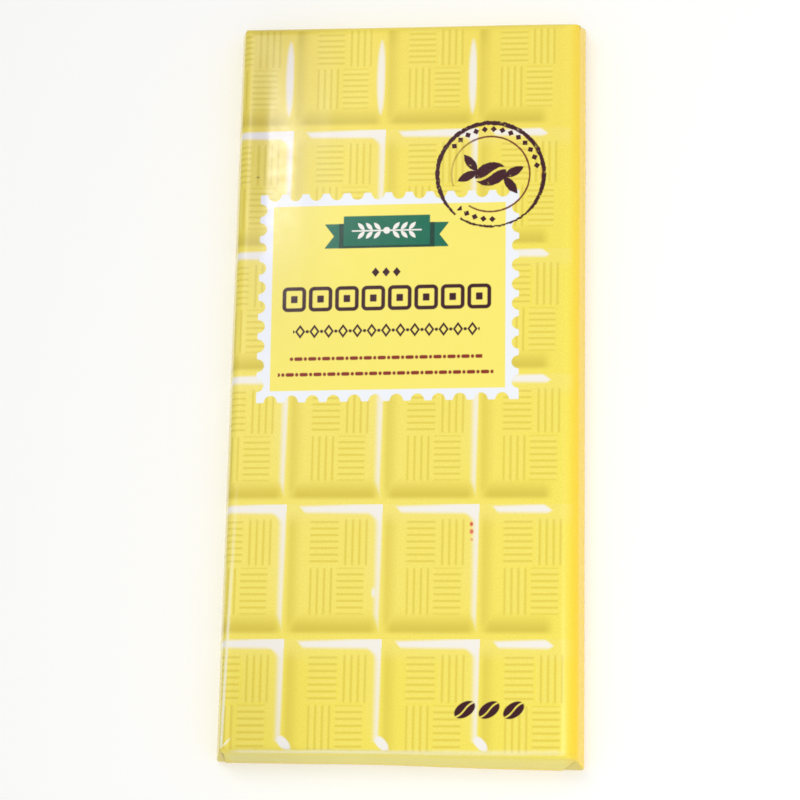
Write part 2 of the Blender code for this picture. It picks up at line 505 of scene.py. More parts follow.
def tileGroup():
    # Masks of one printed tile, repeated: its white edges, its soft shade and its fine ridges
    group, add, given, wanted = startGroup("chocolate tiles", ("x", "y"), ("white", "shade", "ridge"))
    width = tilePrint["tileWidth"]

    level = add("MULTIPLY_ADD", given["x"], -tilePrint["rise"], given["y"])
    depth = add("SUBTRACT", tilePrint["firstBand"], level)
    scale = add("MULTIPLY_ADD", depth, -tilePrint["stretch"], 1 / tilePrint["rowScale"])
    rows = add("MULTIPLY", depth, scale)
    row = add("FLOOR", rows)
    below = add("MULTIPLY", add("FRACT", rows), tilePrint["rowPitch"])

    start = add("MULTIPLY_ADD", row, tilePrint["columnStep"], tilePrint["bandRight"])
    pitch = add("MULTIPLY_ADD", row, tilePrint["columnGrowth"], tilePrint["columnPitch"])
    columns = add("DIVIDE", add("SUBTRACT", given["x"], start), pitch)
    column = add("FLOOR", columns)
    across = add("MULTIPLY", add("FRACT", columns), width)

    topRow = add("LESS_THAN", row, -0.5)
    lastColumn = add("GREATER_THAN", column, 0.5)

    # white band along the tile's top, pointed at the left and thickest at the right
    reach = add("MapRange", across, 3.0, width)
    overTop = add("SUBTRACT", add("MULTIPLY_ADD", reach, -0.6, 0.48), below)
    underBottom = add("SUBTRACT", below, add("MULTIPLY_ADD", reach, 0.25, 1.75))
    point = add("SUBTRACT", add("MULTIPLY_ADD", below, 0.8, 2.4), across)
    fromMiddle = apart(add, below, 1.35)
    tail = add("SUBTRACT", across, add("MULTIPLY_ADD", fromMiddle, -1.3, 15.2))
    tail = add("MULTIPLY_ADD", add("SUBTRACT", 1.0, lastColumn), -faraway, tail)
    lowEdge = add("MULTIPLY", underBottom, tilePrint["innerSoft"])
    flatBand = add("SMOOTH_MAX", overTop, lowEdge, 0.4)
    flatBand = add("SMOOTH_MAX", flatBand, point, 0.7)
    flatBand = add("SMOOTH_MAX", flatBand, tail, 0.7)

    # white band down the tile's right side, with a small gusset at its top
    gusset = add("MAXIMUM", add("MULTIPLY_ADD", below, -0.5, 2.1), 0.0)
    gusset = add("MULTIPLY", add("POWER", gusset, 2.2), 1.3)
    bandWidth = add("ADD", add("MULTIPLY_ADD", below, -0.022, 1.27), gusset)
    tip = add("MULTIPLY_ADD", below, -0.45, 11.2)
    bandWidth = add("SMOOTH_MIN", bandWidth, tip, 0.5)
    rightEdge = add("MULTIPLY_ADD", below, -0.02, width)
    leftOf = add("SUBTRACT", add("SUBTRACT", rightEdge, bandWidth), across)
    upright = add("MULTIPLY", leftOf, tilePrint["leftSoft"])
    upright = add("MAXIMUM", upright, add("SUBTRACT", across, rightEdge))
    upright = add("MAXIMUM", upright, overTop)
    slant = add("MULTIPLY", add("SUBTRACT", across, rightEdge), -0.8)
    slant = add("ADD", slant, add("SUBTRACT", below, 21.2))
    notBottom = add("LESS_THAN", row, 3.5)
    slant = add("MULTIPLY_ADD", notBottom, -faraway, slant)
    upright = add("MAXIMUM", upright, slant)
    upright = add("MULTIPLY_ADD", lastColumn, faraway, upright)
    bothBands = add("SMOOTH_MIN", flatBand, upright, 0.3)
    bothBands = add("MULTIPLY_ADD", topRow, faraway, bothBands)

    # the top row has only a slim upright streak, pointed at both ends
    streakWidth, streakLength = tilePrint["streakHalf"]
    swell = add("DIVIDE", add("SUBTRACT", below, tilePrint["streakMiddle"]), streakLength)
    swell = add("MULTIPLY_ADD", swell, add("MULTIPLY", swell, -1.0), 1.0)
    swell = add("SQRT", add("MAXIMUM", swell, 0.0))
    streak = apart(add, across, width - 0.9)
    streak = add("MULTIPLY_ADD", add("POWER", swell, 0.8), -streakWidth, streak)
    streak = add("ADD", streak, 0.5)
    elsewhere = add("MAXIMUM", add("SUBTRACT", 1.0, topRow), lastColumn)
    streak = add("MULTIPLY_ADD", elsewhere, faraway, streak)

    # the bottom row's upright bands end in a small foot that turns to the right
    nearest = add("ROUND", columns)
    footX = add("MULTIPLY", add("SUBTRACT", columns, nearest), width)
    footX = add("SUBTRACT", footX, tilePrint["footMiddle"][0])
    footY = add("SUBTRACT", below, tilePrint["footMiddle"][1])
    footLong, footWide = [half * math.sqrt(2) for half in tilePrint["footHalf"]]
    footLong = add("DIVIDE", add("ADD", footX, footY), footLong)
    footWide = add("DIVIDE", add("SUBTRACT", footX, footY), footWide)
    foot = add("MULTIPLY_ADD", footLong, footLong, add("MULTIPLY", footWide, footWide))
    foot = add("SUBTRACT", foot, 1.0)
    noFoot = add("MAXIMUM", notBottom, add("GREATER_THAN", add("ABSOLUTE", nearest), 1.5))
    foot = add("MULTIPLY_ADD", noFoot, faraway, foot)

    strongest = tilePrint["strongest"]
    soft = tilePrint["soft"]
    white = add("MapRange", bothBands, soft, -soft, **smooth)
    white = add("MULTIPLY", white, add("MapRange", below, 2.5, 5.0, *strongest["band"]))
    foot = add("MapRange", foot, soft, -soft, **smooth)
    white = add("MAXIMUM", white, foot)

    # a faint glow on the tile inside both bands
    glow = add("MINIMUM", underBottom, add("MULTIPLY_ADD", lastColumn, faraway, leftOf))
    glow = add("MapRange", glow, 3.4, 0.0, 0.0, strongest["glow"], **smooth)
    glow = add("MULTIPLY", glow, add("MapRange", below, 23.0, 15.0))
    glow = add("MULTIPLY", glow, add("SUBTRACT", 1.0, topRow))
    white = add("MAXIMUM", white, glow)
    soft = tilePrint["streakSoft"]
    streak = add("MapRange", streak, soft, -soft, 0.0, strongest["streak"], **smooth)
    white = add("MAXIMUM", white, streak)

    # soft shade above the next band and beside the upright one
    farEnd = add("MULTIPLY_ADD", lastColumn, -4.2, 19.8)
    farEnd = add("SUBTRACT", across, farEnd)
    lowShade = add("MapRange", below, 21.3, 26.3, **smooth)
    lowShade = add("POWER", lowShade, 1.4)
    limits = ((below, 27.4, 26.1), (across, -0.4, 3.0), (farEnd, 0.8, -2.0))
    lowShade = fadeOut(add, lowShade, limits)
    sideShade = add("MapRange", across, -0.2, 1.3, 0.0, 0.6, **smooth)
    topBlot = add("MapRange", below, 10.0, 5.5, 0.0, 0.5, **smooth)
    sideShade = add("MULTIPLY_ADD", add("MULTIPLY", topRow, topBlot), sideShade, sideShade)
    limits = ((across, 4.0, 0.9), (below, 0.5, 5.0), (below, 27.3, 24.5))
    sideShade = fadeOut(add, sideShade, limits)
    shade = add("MAXIMUM", lowShade, sideShade)

    # ridges in four fields, level in two corners and upright in the other two
    lowHalf = add("GREATER_THAN", below, 13.0)
    shifted = add("MULTIPLY_ADD", lowHalf, tilePrint["lowShift"], across)
    fieldsX, fieldsY = tilePrint["fieldsMeet"]
    rightHalf = add("GREATER_THAN", shifted, fieldsX)
    level = add("COMPARE", rightHalf, lowHalf, 0.5)
    phaseDown = add("DIVIDE", below, tilePrint["ridgePitch"])
    phaseAcross = add("DIVIDE", across, tilePrint["ridgePitchAcross"])
    phase = add("Mix", {0: level, 2: phaseAcross, 3: phaseDown})
    ridge = add("SINE", add("MULTIPLY", phase, math.tau))
    cross = apart(add, shifted, fieldsX)
    down = apart(add, below, fieldsY)
    limits = (
        (across, 4.8, 5.5),
        (shifted, 17.8, 17.1),
        (down, 10.3, 9.5),
        (cross, 0.0, 0.6),
        (down, 0.0, 0.6),
    )
    ridge = fadeOut(add, ridge, limits)

    # only four columns are printed, and nothing past the folds of the two ends
    printed = add("COMPARE", column, -0.5, 1.6)
    printed = fadeOut(add, printed, [(given["y"], *ends) for ends in tilePrint["printEnds"]])
    for name, mask in (("white", white), ("shade", shade), ("ridge", ridge)):
        group.links.new(add("MULTIPLY", mask, printed), wanted[name])
    return group


# Shapes that the rest of the print is drawn with: each gives a distance in mm, below 0 inside

def boxGroup():
    names = ("x", "y", "halfWidth", "halfHeight", "corner")
    group, add, given, wanted = startGroup("distance to a rounded box", names, ("distance",))
    across = add("SUBTRACT", add("ABSOLUTE", given["x"]), given["halfWidth"])
    across = add("ADD", across, given["corner"])
    along = add("SUBTRACT", add("ABSOLUTE", given["y"]), given["halfHeight"])
    along = add("ADD", along, given["corner"])
    beyond = add("CombineXYZ", add("MAXIMUM", across, 0.0), add("MAXIMUM", along, 0.0), 0.0)
    outside = add("VectorMath LENGTH", beyond, output=1)
    inside = add("MINIMUM", add("MAXIMUM", across, along), 0.0)
    total = add("SUBTRACT", add("ADD", outside, inside), given["corner"])
    group.links.new(total, wanted["distance"])
    return group


def ovalGroup():
    names = ("x", "y", "halfWidth", "halfHeight")
    group, add, given, wanted = startGroup("distance to an oval", names, ("distance",))
    across = add("DIVIDE", given["x"], given["halfWidth"])
    along = add("DIVIDE", given["y"], given["halfHeight"])
    reach = add("VectorMath LENGTH", add("CombineXYZ", across, along, 0.0), output=1)
    size = add("MINIMUM", given["halfWidth"], given["halfHeight"])
    total = add("MULTIPLY", add("SUBTRACT", reach, 1.0), size)
    group.links.new(total, wanted["distance"])
    return group


def leafGroup():
    # A leaf pointed at both ends, turned by an angle about its middle
    names = ("x", "y", "turn", "halfLength", "halfWidth")
    group, add, given, wanted = startGroup("distance to a leaf", names, ("distance",))
    place = add("CombineXYZ", given["x"], given["y"], 0.0)
    turned = add("VectorRotate", {"Vector": place, "Angle": given["turn"]}, rotation_type="Z_AXIS")
    turned = add("SeparateXYZ", turned).node.outputs
    along = add("DIVIDE", turned[0], given["halfLength"])
    swell = add("MULTIPLY_ADD", along, add("MULTIPLY", along, -1.0), 1.0)
    swell = add("MULTIPLY", swell, given["halfWidth"])
    total = add("SUBTRACT", add("ABSOLUTE", turned[1]), swell)
    group.links.new(total, wanted["distance"])
    return group


def beanGroup():
    # A cocoa bean: an oval with a wavy bare line along its middle
    names = ("x", "y", "turn", "halfLength", "halfWidth")
    group, add, given, wanted = startGroup("distance to a bean", names, ("distance",))
    place = add("CombineXYZ", given["x"], given["y"], 0.0)
    turned = add("VectorRotate", {"Vector": place, "Angle": given["turn"]}, rotation_type="Z_AXIS")
    turned = add("SeparateXYZ", turned).node.outputs
    sizes = {2: given["halfLength"], 3: given["halfWidth"]}
    oval = add(shapes["oval"], {0: turned[0], 1: turned[1], **sizes})
    wave = add("SINE", add("DIVIDE", add("MULTIPLY", turned[0], 2.4), given["halfLength"]))
    wave = add("MULTIPLY", wave, add("MULTIPLY", given["halfWidth"], 0.22))
    line = apart(add, turned[1], wave)
    line = add("MULTIPLY_ADD", given["halfWidth"], 0.11, add("MULTIPLY", line, -1.0))
    group.links.new(add("MAXIMUM", oval, line), wanted["distance"])
    return group


def repeatGroup():
    # Folds a row of equal cells onto one: 0 in the middle of each, and the cell's number
    names = ("along", "start", "pitch")
    group, add, given, wanted = startGroup("row of cells", names, ("place", "cell"))
    share = add("DIVIDE", add("SUBTRACT", given["along"], given["start"]), given["pitch"])
    cell = add("ROUND", share)
    place = add("MULTIPLY", add("SUBTRACT", share, cell), given["pitch"])
    group.links.new(place, wanted["place"])
    group.links.new(cell, wanted["cell"])
    return group


shapes = {}
shapes["box"] = boxGroup()
shapes["oval"] = ovalGroup()
shapes["leaf"] = leafGroup()
shapes["bean"] = beanGroup()
shapes["row"] = repeatGroup()


# The label: a white stamp with scalloped edges and a plain field with printed ornaments

label = {
    "middle": (-4.0, 18.5),
    "climb": 0.019,          # its level lines rise to the right
    "lean": 0.0095,          # and its upright lines lean to the left
    "stampHalf": (28.2, 23.25),
    "fieldHalf": (25.3, 20.6),
    "scallopTop": (-20.57, 4.525),      # first scallop and spacing along the top and the bottom
    "scallopSide": (19.65, 4.325),
    "scallopSize": (1.45, 1.55),
    "ribbonMiddle": (-0.5, 14.75),
    "ribbonHalf": (9.4, 3.35),
    "tailHalf": (13.4, 2.75),
    "lozengeRow": (-0.5, 2.3),          # first cell and spacing along three rows of ornaments
    "squareRow": (-3.21, 5.72),
    "dotRow": (-0.35, 3.1),
    "rowHeights": (5.4, -0.35, -7.55),
    "squareStroke": 0.42,
    "soft": 0.14,
    "sprigSoft": 0.11,
}


def labelGroup():
    names = ("paper", "field", "ribbon", "fold", "sprig", "brown", "red")
    group, add, given, wanted = startGroup("stamp label", ("x", "y"), names)
    box, oval, leaf, row = (shapes[name] for name in ("box", "oval", "leaf", "row"))
    inked = {}              # the distance to each part, by its name
    fromX = add("SUBTRACT", given["x"], label["middle"][0])
    fromY = add("SUBTRACT", given["y"], label["middle"][1])
    across = add("MULTIPLY_ADD", fromY, label["lean"], fromX)
    up = add("MULTIPLY_ADD", fromX, -label["climb"], fromY)
    side = add("SIGN", across)

    # outline with a row of scallops along each side
    halfWidth, halfHeight = label["stampHalf"]
    outline = add(box, across, add("SUBTRACT", up, 0.1), halfWidth, halfHeight, 0.25)
    bite = add(row, across, *label["scallopTop"])
    depth = add("SUBTRACT", halfHeight, apart(add, up, 0.1))
    bite = add(oval, bite, depth, *label["scallopSize"])
    corner = add("GREATER_THAN", add("ABSOLUTE", across), 27.0)
    bite = add("MULTIPLY_ADD", corner, faraway, bite)
    start = add("MULTIPLY_ADD", side, -0.24, label["scallopSide"][0])
    pitch = add("MULTIPLY_ADD", side, -0.025, label["scallopSide"][1])
    sideBite = add(row, up, start, pitch)
    depth = add("SUBTRACT", halfWidth, add("ABSOLUTE", across))
    sideBite = add(oval, sideBite, depth, *label["scallopSize"])
    corner = add("GREATER_THAN", add("ABSOLUTE", up), 21.8)
    sideBite = add("MULTIPLY_ADD", corner, faraway, sideBite)
    bite = add("SMOOTH_MIN", bite, sideBite, 0.3)
    inked["paper"] = add("SMOOTH_MAX", outline, add("MULTIPLY", bite, -1.0), 0.5)
    inked["field"] = add(box, across, up, *label["fieldHalf"], 0.1)

    # green ribbon with notched tails, and a white sprig along it
    ribbonX = add("SUBTRACT", across, label["ribbonMiddle"][0])
    ribbonY = add("SUBTRACT", up, label["ribbonMiddle"][1])
    front = add(box, ribbonX, ribbonY, *label["ribbonHalf"], 0.2)
    tailY = add("ADD", ribbonY, 1.1)
    tail = add(box, ribbonX, tailY, *label["tailHalf"], 0.1)
    notch = add("SUBTRACT", add("ABSOLUTE", ribbonX), label["tailHalf"][0] - 1.9)
    notch = add("MULTIPLY_ADD", add("ABSOLUTE", tailY), -0.75, notch)
    tail = add("MAXIMUM", tail, notch)
    inked["ribbon"] = add("MINIMUM", front, tail)
    behind = add("MAXIMUM", tail, add("MULTIPLY", front, -1.0))
    shadowed = add("SUBTRACT", add("ABSOLUTE", ribbonX), label["ribbonHalf"][0] + 1.0)
    inked["fold"] = add("MAXIMUM", behind, shadowed)
    stem = add(box, ribbonX, ribbonY, 7.6, 0.16, 0.1)
    pair = add(row, add("ABSOLUTE", ribbonX), 2.05, 1.75).node.outputs
    leafY = add("SUBTRACT", add("ABSOLUTE", ribbonY), 0.95)
    leaves = add(leaf, pair["place"], leafY, -0.85, 1.12, 0.44)
    leaves = keepCells(add, leaves, pair["cell"], 1.0, 1.5)
    middle = add(oval, ribbonX, ribbonY, 0.75, 0.75)
    inked["sprig"] = add("MINIMUM", add("MINIMUM", stem, leaves), middle)

    # three lozenges, then a row of tile outlines, then a row of lozenges and dots
    lozengeUp, squareUp, dotUp = label["rowHeights"]
    first = add(row, across, *label["lozengeRow"]).node.outputs
    lozenge = apart(add, up, lozengeUp)
    lozenge = add("MULTIPLY_ADD", lozenge, 0.8, add("ABSOLUTE", first["place"]))
    lozenge = add("SUBTRACT", lozenge, 0.85)
    brown = keepCells(add, lozenge, first["cell"], 0.0, 1.5)

    tiles = add(row, across, *label["squareRow"]).node.outputs
    tileY = add("SUBTRACT", up, squareUp)
    square = add(box, tiles["place"], tileY, 2.15, 2.35, 0.75)
    square = add("SUBTRACT", add("ABSOLUTE", square), label["squareStroke"])
    mark = add(box, tiles["place"], tileY, 0.72, 0.8, 0.2)
    square = add("MINIMUM", square, mark)
    brown = add("MINIMUM", brown, keepCells(add, square, tiles["cell"], 0.5, 3.6))

    small = add(row, across, *label["dotRow"]).node.outputs
    smallX = add("ABSOLUTE", small["place"])
    smallY = apart(add, up, dotUp)
    lozenge = add("MULTIPLY_ADD", smallY, 0.72, smallX)
    lozenge = add("SUBTRACT", apart(add, lozenge, 0.85), 0.26)
    dot = add(oval, add("SUBTRACT", smallX, 1.55), smallY, 0.36, 0.36)
    lozenge = add("MINIMUM", lozenge, dot)
    inked["brown"] = add("MINIMUM", brown, keepCells(add, lozenge, small["cell"], 0.0, 6.5))

    # two rows of fine dashes and dots near the bottom
    fine = add(row, up, -17.05, 3.45).node.outputs
    dash = add("MULTIPLY_ADD", fine["cell"], 1.2, across)
    dash = add(row, dash, 0.0, 3.0)
    dot = add("SUBTRACT", add("ABSOLUTE", dash), 1.5)
    dash = add(box, dash, fine["place"], 0.9, 0.4, 0.35)
    dash = add("MINIMUM", dash, add(oval, dot, fine["place"], 0.36, 0.4))
    end = add("MULTIPLY_ADD", fine["cell"], 2.4, -23.2)
    end = add("ADD", apart(add, across, -0.4), end)
    dash = add("MAXIMUM", dash, end)
    inked["red"] = keepCells(add, dash, fine["cell"], 0.5, 0.6)

    for name, distance in inked.items():
        soft = label["sprigSoft"] if name == "sprig" else label["soft"]
        group.links.new(add("MapRange", distance, soft, -soft, **smooth), wanted[name])
    return group


# The round mark at the label's corner, and three beans near the bottom

roundMark = {
    "middle": (17.7, 45.9),
    "outer": 12.05,
    "inner": 8.5,
    "beads": 10.2,
    "beadPitch": 0.19,       # radians
    "motifTurn": 0.21,
    "soft": 0.13,
}


def roundMarkGroup():
    group, add, given, wanted = startGroup("round mark", ("x", "y"), ("plum", "rust", "smear", "beans"))
    oval, leaf, bean, row = (shapes[name] for name in ("oval", "leaf", "bean", "row"))
    fromX = add("SUBTRACT", given["x"], roundMark["middle"][0])
    fromY = add("SUBTRACT", given["y"], roundMark["middle"][1])
    place = add("CombineXYZ", fromX, fromY, 0.0)
    worn = add("TexNoise", {"Vector": place, "Scale": 0.55, "Detail": 3.0, "Roughness": 0.7})
    roughness = cloud(add, place, 1.1, 2.0, -0.13, 0.13)
    reach = add("VectorMath LENGTH", place, output=1)
    angle = add("ARCTAN2", fromY, fromX)
    sine = add("DIVIDE", fromY, add("MAXIMUM", reach, 0.1))

    # outer ring, thinner below and broken at the lower left
    half = add("MapRange", sine, -0.9, -0.25, 0.22, 0.47, **smooth)
    ring = add("SUBTRACT", add("SUBTRACT", reach, roundMark["outer"]), roughness)
    ring = add("ABSOLUTE", add("ADD", ring, half))
    ring = add("SUBTRACT", ring, half)
    lowLeft = apart(add, angle, math.radians(-126))
    gap = add("MULTIPLY", add("SUBTRACT", math.radians(3.2), lowLeft), roundMark["outer"])
    ring = add("MAXIMUM", ring, gap)

    # inner ring, lost at the lower left
    inner = apart(add, reach, roundMark["inner"])
    inner = add("SUBTRACT", inner, add("MULTIPLY_ADD", roughness, 0.3, 0.2))
    lowLeft = apart(add, angle, math.radians(-142))
    gap = add("MULTIPLY", add("SUBTRACT", math.radians(19), lowLeft), roundMark["inner"])
    inner = add("MAXIMUM", inner, gap)

    # beads between the rings, over the top and under the bottom
    bead = add(row, angle, 0.0, roundMark["beadPitch"])
    beadX = add("MULTIPLY", add("ABSOLUTE", bead), roundMark["beads"])
    beadY = apart(add, reach, roundMark["beads"])
    beads = add("SUBTRACT", add("ADD", beadX, beadY), 0.78)
    overTop = add("SUBTRACT", apart(add, angle, math.radians(76)), 1.27)
    underside = apart(add, angle, math.radians(-107))
    underside = add("SUBTRACT", underside, 0.43)
    away = add("GREATER_THAN", add("MINIMUM", overTop, underside), 0.0)
    beads = add("MULTIPLY_ADD", away, faraway, beads)

    # a bean between two leaves, a little turned
    turned = add("VectorRotate", {"Vector": place, "Angle": roundMark["motifTurn"]}, rotation_type="Z_AXIS")
    turned = add("SeparateXYZ", turned).node.outputs
    middle = add(bean, turned[0], turned[1], -0.5, 3.5, 2.6)
    leafX = add("SUBTRACT", add("ABSOLUTE", turned[0]), 4.75)
    upper = add(leaf, leafX, add("SUBTRACT", turned[1], 1.5), -0.7, 2.5, 1.0)
    lower = add(leaf, leafX, add("ADD", turned[1], 1.5), 0.7, 2.5, 1.0)
    motif = add("MINIMUM", middle, add("MINIMUM", upper, lower))
    motif = add("MULTIPLY_ADD", roughness, 0.5, motif)

    strength = add("MapRange", worn, 0.3, 0.42, 0.55, 1.0, **smooth)
    dark = add("MINIMUM", add("MINIMUM", ring, motif), add("ADD", beads, 0.06))
    fade = add("MapRange", fromX, -9.0, -2.0, 0.4, 0.95, **smooth)
    smear = add(oval, add("SUBTRACT", fromX, 11.3), fromY, 0.45, 1.7)

    # three beans at the lower right of the front
    beanRow = add(row, given["x"], 19.1, 5.1).node.outputs
    trio = add(bean, beanRow["place"], add("ADD", given["y"], 70.4), -0.6, 2.45, 1.5)
    trio = keepCells(add, trio, beanRow["cell"], 0.0, 1.5)

    soft = roundMark["soft"]
    inked = {           # the distance to each part, how soft its edge is, and how strong its ink
        "plum": (dark, soft, strength),
        "rust": (inner, soft, fade),
        "smear": (smear, 0.4, 0.7),
        "beans": (trio, soft, 1.0),
    }
    for name, (distance, edge, cover) in inked.items():
        mask = add("MapRange", distance, edge, -edge, **smooth)
        group.links.new(add("MULTIPLY", mask, cover), wanted[name])
    return group


specks = [   # x, y, half width, half height, colour: small flaws in the print
    (14.8, -31.2, 0.35, 0.45, "speckRed"),
    (14.85, -32.8, 0.4, 0.5, "speckRose"),
    (14.9, -34.5, 0.25, 0.3, "speckPeach"),
    (-33.2, 45.4, 0.3, 0.2, "speckOlive"),
    (-5.65, -46.0, 0.45, 1.0, "speckCream"),
]

paper = {
    "yellow": "#F6E55B",
    "paintedTopShade": "#F6E15F",     # the upper rows are painted a little duller, a painted shade
    "paintedSheen": "#F7E66E",          # and those in the middle are painted a little paler towards the left, a painted sheen
    "paintedLeftShade": "#E4E2EE",          # painted shade, a tint that darkens the left side, most at its two corners
    "ends": "#EADF7E",          # the print fades out over the two folded ends, which are also painted duller and more olive towards the left: painted shade
    "ear": "#DCC84C",
    # painted shadow where an ear goes in under a flap's edge
    "gap": "#8A7B2E",
    # painted highlight on the lower fold and a corner crease, and a pale line down the lower left edge
    "worn": "#FAF7DC",
    "plain": "#F3CF14",         # beyond the print, round the sides and on the back
    "shade": "#D9C548",
    "ridgeLight": "#F6E66C",
    "ridgeDark": "#E4D052",
    "white": "#F2EEE7",
    "stampWhite": "#EEF1F6",
    "field": "#F8E96F",
    "green": "#006B50",
    "greenFold": "#003E30",
    "brown": "#360012",
    "red": "#8A2A12",
    "plum": "#3A0014",
    "rust": "#6B1A12",
    "smear": "#D99A2B",
    "backPanel": "#F6EFC4",
    "speckRed": "#D9553F",
    "speckRose": "#E0705A",
    "speckPeach": "#E9A27A",
    "speckOlive": "#9A8A3A",
    "speckCream": "#F0EBD8",
    "printEdge": 34.2,          # the tiles' ink stops here, at the right
    "roughness": 0.21,
}


def coatedPaper():
    # Coated art paper, offset printed and calendered: an even sheen over flat inks,
    # with a very slight unevenness that shows in the highlights alone
    material = bpy.data.materials.new("printed coated paper, calendered")
    material.use_nodes = True
    tree = material.node_tree
    tree.nodes.clear()
    add = partial(addNode, tree)
    sheet = add("UVMap", uv_map="sheet")
    x, y = add("SeparateXYZ", sheet).node.outputs[:2]
    tiles = add(tileGroup(), x, y).node.outputs
    stamp = add(labelGroup(), x, y).node.outputs
    mark = add(roundMarkGroup(), x, y).node.outputs

    inks = []               # what is printed over the yellow, in order: its mask and its colour
    # painted shade: the upper rows a little duller
    upper = add("MapRange", y, 20.0, 75.0, **smooth)
    inks.append((upper, "paintedTopShade"))
    # painted sheen: the middle rows paler towards the left
    paintedSheen = add("MapRange", x, 44.0, -10.0, **smooth)
    paintedSheen = fadeOut(add, paintedSheen, ((y, -66.0, -44.0), (y, 26.0, 6.0)))
    inks.append((paintedSheen, "paintedSheen"))
    inks.append((tiles["shade"], "shade"))
    inks.append((add("MAXIMUM", tiles["ridge"], 0.0), "ridgeLight"))
    dark = add("MAXIMUM", add("MULTIPLY", tiles["ridge"], -1.0), 0.0)
    inks.append((dark, "ridgeDark"))

    # the screen of ink dots is too fine to show, so it is drawn as a faint grain of 0.4 mm
    grain = cloud(add, sheet, 2.4, 1.0, 0.0, 0.26)
    inks.append((grain, "shade"))

    inks.append((tiles["white"], "white"))
    right = add("MapRange", x, paper["printEdge"], 38.0, **smooth)
    left = add("MapRange", x, -44.5, -46.0, **smooth)
    # painted shade over the two folded ends, stronger towards the left
    ends = add("SUBTRACT", add("ABSOLUTE", y), 80.0)
    onBack = add("MapRange", ends, 5.0, 8.5, **smooth)
    ends = add("MapRange", ends, -0.5, 3.0, **smooth)
    ends = add("MULTIPLY", ends, add("MapRange", x, -25.0, 30.0, 0.75, 0.35))
    inks.append((ends, "ends"))
    unprinted = add("MAXIMUM", add("MAXIMUM", right, left), onBack)
    inks.append((unprinted, "plain"))
    pastEnd = add("MapRange", add("ABSOLUTE", y), 81.3, 81.7)
    pastSide = add("MapRange", add("ABSOLUTE", x), 36.5, 38.5, 0.0, 0.9)
    inks.append((add("MULTIPLY", pastEnd, pastSide), "ear"))

    # painted shadow: an ear is darkened where it goes in under a flap's edge
    place = add("VectorMath MULTIPLY", add("TexCoord", output=3), (1 / mm, 1 / mm, 1 / mm))
    bodyX, bodyY, bodyZ = add("SeparateXYZ", place).node.outputs
    edges = []
    for side in (-1, 1):
        slope = (flapTop[side] - flapFoot[side]) / wallDrop
        base = flapFoot[side] - slope * wrapper["backHeight"]
        edges.append(add("MULTIPLY_ADD", bodyZ, slope, base))
    onRight = add("GREATER_THAN", bodyX, 0.0)
    flapEdge = add("Mix", {0: onRight, 2: edges[0], 3: edges[1]})
    gap = add("SUBTRACT", add("ABSOLUTE", bodyX), flapEdge)
    paintedGapShadow = add("MapRange", gap, 0.5, 0.05, 0.0, 0.65, **smooth)
    outGap = add("MapRange", gap, -0.3, -0.1)
    atEnd = add("MapRange", add("ABSOLUTE", bodyY), 79.6, 80.0)
    paintedGapShadow = add("MULTIPLY", add("MULTIPLY", paintedGapShadow, outGap), atEnd)
    paintedGapShadow = add("MULTIPLY", paintedGapShadow, add("MapRange", bodyZ, 0.5, 6.3, 0.1, 1.0))
    paintedGapShadow = add("MULTIPLY", paintedGapShadow, add("MapRange", bodyZ, 7.0, 6.3))
    inks.append((paintedGapShadow, "gap"))

    # painted highlight along the lower fold and on a short crease at the lower left corner, and a pale line
    # along the lower part of the left edge
    paleLineWobble = cloud(add, sheet, 0.9, 2.0, -0.12, 0.12)
    fold = add("ADD", y, add("MULTIPLY_ADD", x, -0.014, 79.62))
    fold = add("ADD", add("ABSOLUTE", fold), paleLineWobble)
    fold = add("MapRange", fold, 0.95, 0.0, 0.0, 0.6, **smooth)
    foldEnd = add("MapRange", add("ABSOLUTE", x), 35.6, 33.0)
    fold = add("MULTIPLY", fold, foldEnd)
    fold = add("MULTIPLY", fold, add("MapRange", x, -10.0, 30.0, 1.0, 0.6))
    edgeLine = add("ABSOLUTE", add("ADD", x, add("MULTIPLY_ADD", y, -0.03, 34.73)))
    edgeLine = add("MULTIPLY_ADD", paleLineWobble, 0.6, edgeLine)
    edgeLine = add("MapRange", edgeLine, 0.58, 0.08, **smooth)
    edgeFade = add("MapRange", y, -22.0, -70.0)
    edgeLine = add("MULTIPLY", edgeLine, edgeFade)
    edgeFade = add("MapRange", y, -79.3, -78.6, 0.0, 0.95, **smooth)
    edgeLine = add("MULTIPLY", edgeLine, edgeFade)
    creaseX = add("ADD", x, 35.9)
    creaseY = add("ADD", y, 77.9)
    crease = add(shapes["leaf"], creaseX, creaseY, -0.82, 1.35, 0.22)
    crease = add("MapRange", crease, 0.15, -0.15, 0.0, 0.8, **smooth)
    # the fold and crease marks are painted highlight
    worn = add("MAXIMUM", add("MAXIMUM", fold, edgeLine), crease)
    inks.append((worn, "worn"))

    # a pale panel on the back with an empty ruled table
    panelX = add("ADD", x, 68.5)
    panel = add(shapes["box"], panelX, y, 16.5, 42.0, 2.0)
    panel = add("MapRange", panel, 0.15, -0.15, **smooth)
    inks.append((panel, "backPanel"))
    tableY = add("ADD", y, 14.0)
    rule = add(shapes["row"], tableY, 0.0, 4.0)
    rule = add("ABSOLUTE", rule)
    rule = add("MINIMUM", rule, apart(add, panelX, 4.0))
    border = add(shapes["box"], panelX, tableY, 13.0, 20.0, 0.1)
    rule = add("MINIMUM", rule, add("ABSOLUTE", border))
    rule = add("MAXIMUM", rule, border)
    rule = add("MapRange", rule, 0.24, 0.06, 0.0, 0.8, **smooth)
    inks.append((rule, "red"))

